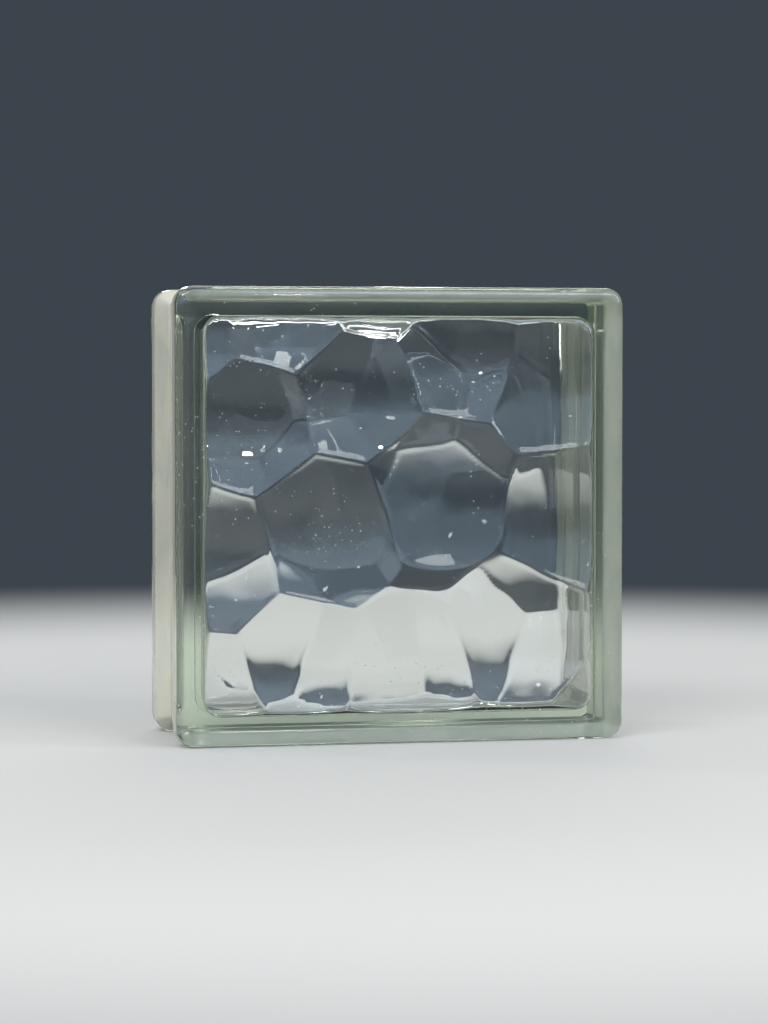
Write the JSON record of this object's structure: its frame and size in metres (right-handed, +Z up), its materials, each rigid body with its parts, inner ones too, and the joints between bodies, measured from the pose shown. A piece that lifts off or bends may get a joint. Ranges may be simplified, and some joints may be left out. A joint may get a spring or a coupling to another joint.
{
  "type": "glass block",
  "caption": "Square hollow glass wall block with billowed inner panes, a fused mid seam and a recessed mortar channel round its sides, for walls that let daylight through.",
  "frame": {"origin": "centre of the footprint, at the bottom of the lower side, on which the block stands as laid", "axes": "+Z up, +Y from the front face through the block's thickness to the back face, +X across the face"},
  "size_m": [0.19, 0.08, 0.19],
  "materials": {
    "clear_glass": "clear pressed soda-lime glass, faintly green, smooth outside and billowed inside, with a thin milky bonding coat on the sides"
  },
  "bodies": {
    "root": {"glass_block": "clear_glass"}
  },
  "joints": []
}
